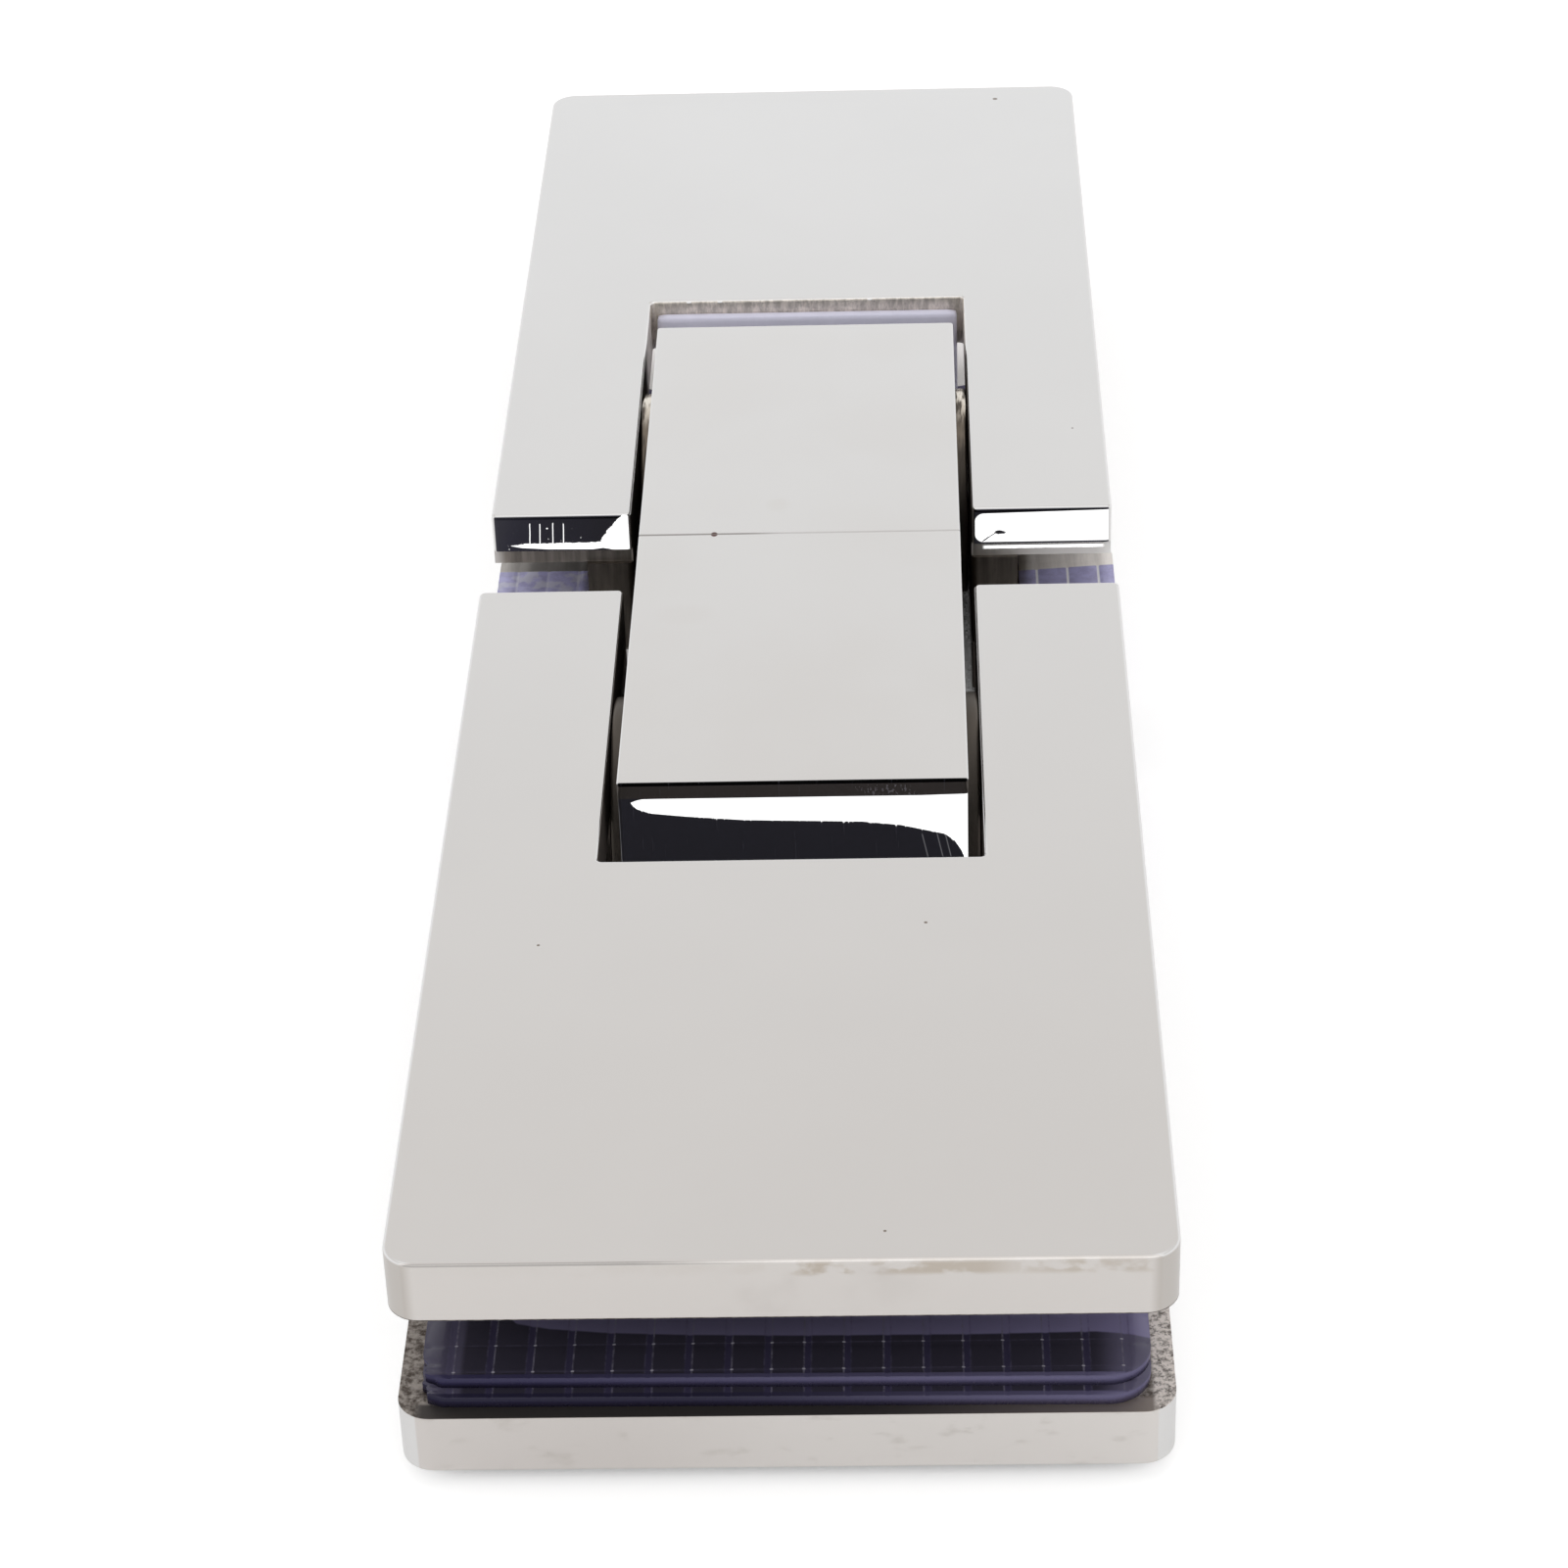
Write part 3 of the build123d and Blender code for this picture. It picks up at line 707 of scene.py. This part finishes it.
def paint_legs(f, along, high, from_column, dust):
    """The legs beside the block: lavender with pale lines and milky patches, made much lighter than the
    sheet under the plates as painted light, the lines as painted highlights, and over the part under the
    front plate, painted shade with brushed streaks, lighter to the sides and most to the right."""
    on_legs = f.step(along, inner_end + 30.0, inner_end + 20.0)
    # Painted light: the legs in the open gap are lit, so they are much lighter than the sheet under the
    # plates.
    f.paint(on_legs * (0.75 + 0.25 * f.step(dust, 0.4, 0.6)), lit_leg_lavender)
    milky = f.step(f.grain(0.35, detail=4.0, seat=(4, 0, 0)), 0.52, 0.60) * f.step(f.x, 0.0, -1.0)
    f.paint(on_legs * milky * 0.6, leg_milky)
    # Painted highlights along the columns of the grid.
    lines = f.step(abs(from_column), 0.16, 0.06) * (0.25 + 0.75 * f.step(f.x, 0, 1))
    f.paint(on_legs * lines, leg_groove_glint)
    # Painted shade under the front plate, with brushed streaks, lighter to the sides.
    shade_edge = f.curve(f.x, [(-30.0, 17.5), (-16.0, 17.5), (16.0, 15.9), (29.0, 17.2)])
    shaded = f.step(along - shade_edge, -0.1, 0.1) * f.step(along, 36.0, 30.0)
    light = f.curve(
        f.x,
        [(-28.0, 0.55), (-25.0, 0.22), (-16.0, 0.15), (16.0, 0.20), (19.0, 0.55), (28.0, 1.0)],
    )
    light = light * (0.65 + 0.7 * f.grain(1.5, detail=4.0, stretch=(1.0, 0.08, 1.0)))
    f.paint(shaded * f.step(f.z, high - 0.12, high - 0.07), f.mix(light, no_light, shade_strip_pale), 0.4)


def embossed_gasket(name, side, low, high, end):
    """Soft sheet with a violet tint, painted dark between the grooves of its grid as the shaded steel
    under it.

    The real sheet is clear. This one is opaque, and what shows through it, light and shade too, is
    painted on it.
    """
    # Painted shade: the base is the dark of shaded steel seen through the sheet.
    f = Finish(name, shaded_cell_dark, 0.14)
    along = f.y * side
    dust = f.grain(0.8, detail=5.0, roughness=0.65)
    from_column = f.from_nearest(f.x, first_column)
    f.paint(f.step(abs(from_column), groove_half, groove_half - 0.08), groove_violet)
    paint_bands(f, along)
    paint_groove_walls(f, along, from_column)
    paint_edges(f, along, low, high, end, door_lean if side < 0 else 0.0)
    paint_legs(f, along, high, from_column, dust)
    f.rough = f.rough + dust * 0.10
    return f.done(f.surface(Specular_IOR_Level=0.15, Normal=f.bump(f.grain(3.0), 0.006)))


def milky_pad(name):
    """Milky lilac plastic of the pad on the notch wall."""
    f = Finish(name, pad_lilac_deep, 0.30)
    dust = f.grain(0.6, detail=4.0)
    f.paint(dust, pad_lilac_pale)
    f.rough = f.rough + dust * 0.15
    return f.done(f.surface(IOR=1.5, Normal=f.bump(dust, 0.02)))


def pale_plastic(name, side):
    """Pale nylon of the screw sleeves. Where they face the block they glow with painted light that
    stands for light coming through them from the glass slot, and on the door side much less."""
    f = Finish(name, nylon, 0.35)
    grain = f.grain(1.2)
    f.paint(grain, nylon_pale)
    facing = f.step(f.y * side, clamp_along - 2.0, clamp_along - 4.0)
    height = f.step(f.z, back_inner + 2.5, front_inner - 2.0)
    strength = 1.0 if side > 0 else 0.25
    # Painted light: emission where the sleeves face the block.
    glow = f.mix(facing * strength, no_light, f.mix(height, glow_low, glow_high))
    return f.done(f.surface(Normal=f.bump(grain, 0.01), Emission_Color=glow, Emission_Strength=1.0))


# Surfaces.


def closed_mesh(name, corners, triangles):
    """A mesh from corners in millimetres, a row for each, and triangles of their numbers."""
    mesh = bpy.data.meshes.new(name)
    mesh.vertices.add(len(corners))
    mesh.vertices.foreach_set("co", (corners * mm).astype(np.float32).ravel())
    mesh.loops.add(3 * len(triangles))
    mesh.loops.foreach_set("vertex_index", triangles.astype(np.int32).ravel())
    mesh.polygons.add(len(triangles))
    mesh.polygons.foreach_set("loop_start", np.arange(0, 3 * len(triangles), 3, dtype=np.int32))
    mesh.update(calc_edges=True)
    mesh.validate()
    made = bpy.data.objects.new(name, mesh)
    bpy.context.scene.collection.objects.link(made)
    return made


def joined(points, triangles):
    """The rows of the points that stay when points at the same place are made one, and the
    triangles on them, without those that became flat."""
    _, first, same = np.unique(np.round(points, 4), axis=0, return_index=True, return_inverse=True)
    triangles = same.ravel()[triangles]
    a, b, c = triangles.T
    return first, triangles[(a != b) & (b != c) & (a != c)]


def sheet_half_width(along, end, r):
    """Half the width of a gasket at a distance along the leaf.

    Along the leaf it is h, which runs in straight lines from the proud legs to the narrower
    closed end. In the corner of radius r there it is h - r + sqrt(r^2 - (along - end + r)^2).
    """
    places = [inner_end, proud_end, inset_start, notch_wall, taper_end]
    past_plate = np.array([leg_proud, leg_proud, -leg_inset, -leg_inset, -closed_inset])
    h = np.interp(along, places, leaf_half_width + past_plate)
    into = np.clip(along - (end - r), 0.0, r)
    return h - r + np.sqrt(np.maximum(r * r - into * into, 0.0))


def groove_share(value, first):
    """1 on the lines of the grid, falling straight to 0 at groove_half from them."""
    turns = (value - first) / grid_pitch
    away = np.abs(turns - np.round(turns)) * grid_pitch
    return np.clip(1 - away / groove_half, 0, 1)


def ragged_inset(along, end):
    """How far the door's ragged corner lies inside its clean outline: ragged_depth times
    1 + sin(a along) sin(b along), grown from 0 over the first millimetre."""
    first, second = (np.sin(wave * along) for wave in ragged_waves)
    return ragged_depth * np.clip(along - end + ragged_length, 0, 1) * (1 + first * second)


def embossed_sheet(name, low, high, side, end):
    """A U of soft sheet, embossed with a grid of V grooves on both faces.

    A point (x, along) is a crossing of a fine grid, with x held inside the outline's half
    width. Its upper face is at high - groove_depth * groove_share, for the nearer of a column
    and a row. The holes push the grid outwards to their circles. On the door side the left
    corner of the closed end is tight and ragged, and the closed end leans.
    """
    on_door = side < 0
    cut = ear_outer + cut_clearance
    notch_end = notch_wall + cut_clearance
    mouth = inner_end + mouth_inset
    radius, reach_end = gasket_hole_radius, 1.5 * gasket_hole_radius
    inside = radius * math.sqrt(0.5)
    holes = [(-clamp_x, clamp_along), (clamp_x, clamp_along)]
    ticks = np.array([-groove_half, 0.0, groove_half])
    columns = (first_column + np.arange(-11, 11)[:, None] * grid_pitch + ticks).ravel()
    rows = (first_row + np.arange(1, 35)[:, None] * grid_pitch + ticks).ravel()
    around = np.array([-1, -0.54, 0, 0.54, 1]) * inside
    turn = np.sin(np.radians(np.arange(0, 91, 10)))
    bend = np.concatenate([end - gasket_corner * (1 - turn), end - door_corner * (1 - turn)])
    wide = leaf_half_width + 2
    columns = np.concatenate([columns, *(x + around for x, _ in holes), [-cut, cut, -wide, wide]])
    rows = np.concatenate([rows, clamp_along + around, bend])
    rows = np.concatenate([rows, [mouth, proud_end, inset_start, notch_end, notch_wall, taper_end]])
    columns = np.unique(np.round(columns, 3))
    rows = np.unique(np.round(rows[(rows >= mouth) & (rows <= end)], 3))

    x, along = np.meshgrid(columns, rows, indexing="ij")
    left = sheet_half_width(along, end, door_corner if on_door else gasket_corner)
    if on_door:
        left = left - ragged_inset(along, end)
    x = np.clip(x, -left, sheet_half_width(along, end, gasket_corner))
    dip = groove_depth * np.maximum(groove_share(x, first_column), groove_share(along, first_row))
    for hole_x, hole_along in holes:
        dx, dy = x - hole_x, along - hole_along
        reach = np.maximum(np.abs(dx), np.abs(dy))
        far = np.maximum(np.hypot(dx, dy), 1e-6)
        share = np.clip((reach - inside) / (reach_end - inside), 0, 1)
        keep = (reach >= reach_end) | (reach < inside - 1e-3)
        grow = np.where(keep, 1.0, (radius + (far - radius) * share) / far)
        x, along = hole_x + dx * grow, hole_along + dy * grow
    if on_door:
        lean_share = np.clip((along - lean_from_along) / lean_growth, 0, 1)
        along = along + door_lean * (x - lean_from_x) * lean_share

    number = np.arange(x.size).reshape(x.shape)
    corners = number[:-1, :-1], number[1:, :-1], number[1:, 1:], number[:-1, 1:]
    mid_x = (columns[:-1, None] + columns[1:, None]) / 2 + 0 * rows[None, :-1]
    mid_along = (rows[None, :-1] + rows[None, 1:]) / 2 + 0 * mid_x
    solid = ~((np.abs(mid_x) < cut) & (mid_along < notch_end))
    for hole_x, hole_along in holes:
        solid &= ~((np.abs(mid_x - hole_x) < inside) & (np.abs(mid_along - hole_along) < inside))
    a, b, c, d = (q[solid] for q in corners)
    flat = np.stack([x.ravel(), along.ravel()], 1)
    first, tops = joined(flat, np.concatenate([np.stack([a, b, c], 1), np.stack([a, c, d], 1)]))
    flat, dip = flat[first], dip.ravel()[first]

    edges = np.concatenate([tops[:, [0, 1]], tops[:, [1, 2]], tops[:, [2, 0]]])
    _, index, times = np.unique(np.sort(edges, 1), axis=0, return_index=True, return_counts=True)
    start, stop = edges[index[times == 1]].T
    n = len(flat)
    walls = np.concatenate(
        [np.stack([stop, start, start + n], 1), np.stack([stop, start + n, stop + n], 1)]
    )
    upper = np.column_stack([flat[:, 0], flat[:, 1] * side, high - dip])
    lower = np.column_stack([flat[:, 0], flat[:, 1] * side, low + dip])
    triangles = np.concatenate([tops, tops[:, ::-1] + n, walls])
    if on_door:
        triangles = triangles[:, ::-1]
    return closed_mesh(name, np.concatenate([upper, lower]), triangles)


def rounded_block(name, low, high, radius):
    """A block with round edges.

    Each point of a divided cube goes to inner + radius * unit(point - inner), where inner is
    the nearest point of the block shrunk by the radius.
    """
    rows = 8
    u, v = np.meshgrid(np.linspace(0, 1, rows + 1), np.linspace(0, 1, rows + 1), indexing="ij")
    number = np.arange(u.size).reshape(u.shape)
    quads = np.stack([number[:-1, :-1], number[1:, :-1], number[1:, 1:], number[:-1, 1:]], -1)
    quads = quads.reshape(-1, 4)
    points, triangles = [], []
    for axis in range(3):
        for end in (0, 1):
            face = np.empty((u.size, 3))
            face[:, axis] = end
            face[:, (axis + 1) % 3] = u.ravel()
            face[:, (axis + 2) % 3] = v.ravel()
            turn = quads if end else quads[:, ::-1]
            pair = np.concatenate([turn[:, [0, 1, 2]], turn[:, [0, 2, 3]]])
            triangles.append(pair + len(points) * u.size)
            points.append(face)
    spread = np.clip((np.concatenate(points) - 0.5) * 2, -1, 1)
    bulge = np.sign(spread) * (1 - (1 - np.abs(spread)) ** 2)
    cube = low + (bulge * 0.5 + 0.5) * (high - low)
    inner = np.clip(cube, low + radius, high - radius)
    away = cube - inner
    length = np.maximum(np.linalg.norm(away, axis=1, keepdims=True), 1e-9)
    placed = inner + away / length * radius
    first, triangles = joined(placed, np.concatenate(triangles))
    return closed_mesh(name, placed[first], triangles)


# Put the finishes on the solids.


def dress(node, material):
    """Give a solid of the part its finish."""
    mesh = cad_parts[node].data
    mesh.materials.clear()
    mesh.materials.append(material)


def place(piece, node, body, slot, material):
    """A piece stands for a solid, rides on its body and has its finish."""
    piece.data.materials.append(material)
    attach(piece, body)
    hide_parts(node)


pad_edge_radius = 0.45
fastener = turned_steel("screw_zinc", zinc, 0.25, zinc_streak)
ground = turned_steel("ground_pin", pin_steel, 0.18, pin_streak)
spring_wire = turned_steel("spring_wire", wire_steel, 0.30, wire_streak)
pad_lilac = milky_pad("pad_milky_lilac")

for leaf, side in (("door", -1), ("panel", 1)):
    dress(f"{leaf}_front_plate", polished_plate(f"{leaf}_front_polish", side))
    dress(f"{leaf}_back_plate", cast_back(f"{leaf}_back_polish", side))
    dress(f"{leaf}_half_block", polished_block(f"{leaf}_block_polish", side))
    dress(f"{leaf}_clamp_screws", fastener)
    dress(f"{leaf}_pin_grubs", fastener)
    dress(f"{leaf}_pivot_pin", ground)
    dress(f"{leaf}_plunger", ground)
    bush = bush_with_painted_light(f"{leaf}_bush_metal", side)
    dress(f"{leaf}_left_bush", bush)
    dress(f"{leaf}_right_bush", bush)
    dress(f"{leaf}_screw_sleeves", pale_plastic(f"{leaf}_sleeve_pale", side))
    body = f"{leaf}_leaf"
    for level in ("lower", "upper"):
        node = f"{leaf}_{level}_gasket"
        low, high = corners_of(node)
        end = float(max(-low[1], high[1]))
        sheet = embossed_sheet(f"{node}_sheet", low[2], high[2], side, end)
        violet = embossed_gasket(f"{node}_violet", side, float(low[2]), float(high[2]), end)
        place(sheet, node, body, "clear_vinyl", violet)
    node = f"{leaf}_notch_pad"
    pad = rounded_block(f"{node}_strip", *corners_of(node), pad_edge_radius)
    place(pad, node, body, "lilac_vinyl", pad_lilac)
dress("tie_plate", fastener)
dress("tie_screws", fastener)
dress("seam_dowels", ground)
dress("plunger_spring", spring_wire)


# Light tent, table and camera.


def light_tent():
    """A tent that is white from the horizon down, greyer above it and brightest overhead, with
    a lamp zone behind the camera. Camera rays see plain white."""
    world = bpy.data.worlds.new("light_tent")
    bpy.context.scene.world = world
    world.use_nodes = True
    nodes = Nodes(world.node_tree)
    direction = nodes.add("TexCoord", output="Generated")
    parts = nodes.add("SeparateXYZ", {}, {0: direction})
    height = parts.outlet("Z")
    stops = [
        (0.0, (1.0, 1.0, 1.0)),
        (0.40, (0.95, 0.957, 0.965)),
        (0.50, (0.855, 0.85, 0.845)),
        (0.64, (0.765, 0.735, 0.71)),
        (0.78, (0.78, 0.76, 0.75)),
        (1.0, (1.1, 1.1, 1.1)),
    ]
    sky = nodes.add("ValToRGB", {"stops": stops}, {0: height})
    lamp = nodes.step(parts.outlet("Y"), -0.40, -0.50) * nodes.between(height, 0.52, 0.80)
    sky = nodes.mix(lamp, sky, (1.5, 1.5, 1.5))
    seen = nodes.add("LightPath", output="Is Camera Ray")
    light = nodes.add("Background", {}, {"Color": nodes.mix(seen, sky, white)})
    nodes.add("OutputWorld", {}, {"Surface": light})


def table_white(name, under_clamp):
    """White of the table. Camera rays get the light that makes it white, and mirror and glass
    rays a share of it. Under the clamp it is dark where next to no light comes in."""
    material = bpy.data.materials.new(name)
    material.use_nodes = True
    nodes = Nodes(material.node_tree)
    paths = nodes.add("LightPath", output="Is Camera Ray")
    mirrored = paths.outlet("Is Glossy Ray") + paths.outlet("Is Transmission Ray")
    colour, light = table_grey, white
    if under_clamp:
        open_sky = nodes.add("AmbientOcclusion", {"samples": 8}, {"Distance": 0.02}, output="AO")
        hidden = nodes.step(open_sky, 0.16, 0.06)
        colour = nodes.mix(hidden, table_grey, table_hidden)
        light = nodes.mix(hidden, white, no_light)
    share = nodes.add("Clamp", {}, {0: paths + mirrored_share * mirrored})
    inputs = {
        "Base Color": colour,
        "Roughness": 0.9,
        "Specular IOR Level": 0.0,
        "Emission Color": light,
        "Emission Strength": table_lift * share,
    }
    nodes.add("OutputMaterial", {}, {"Surface": nodes.add("BsdfPrincipled", {}, inputs)})
    return material


def table_top():
    """A wide pale table of three by three faces. The middle one lies just under the clamp."""
    edge, under_x, under_y, middle = 3.0, 0.027, 0.096, 4
    across, along = (-edge, -under_x, under_x, edge), (-edge, -under_y, under_y, edge)
    corners = [(x, y, 0) for y in along for x in across]
    starts = [4 * row + column for row in range(3) for column in range(3)]
    mesh = bpy.data.meshes.new("table_top")
    mesh.from_pydata(corners, [], [(n, n + 1, n + 5, n + 4) for n in starts])
    table = bpy.data.objects.new("table_top", mesh)
    bpy.context.scene.collection.objects.link(table)
    mesh.materials.append(table_white("table_white", False))
    mesh.materials.append(table_white("table_under_clamp", True))
    mesh.polygons[middle].material_index = 1


table_grey = (0.8, 0.8, 0.8)
table_hidden = (0.10, 0.088, 0.08)
table_lift = 0.42
mirrored_share = 0.35
light_tent()
table_top()

frame_pixels = 1601
focal_pixels = 4336.9
camera = bpy.data.cameras.new("camera")
camera.sensor_width = 36.0
camera.lens = camera.sensor_width * focal_pixels / frame_pixels
camera.clip_start, camera.clip_end = 0.01, 20.0
eye = bpy.data.objects.new("camera", camera)
eye.location = (0.00959, -0.32075, 0.20754)
eye.rotation_euler = tuple(math.radians(a) for a in (56.597, 1.667, 0.985))
bpy.context.scene.collection.objects.link(eye)
bpy.context.scene.camera = eye
bpy.context.scene.view_settings.view_transform = "Standard"
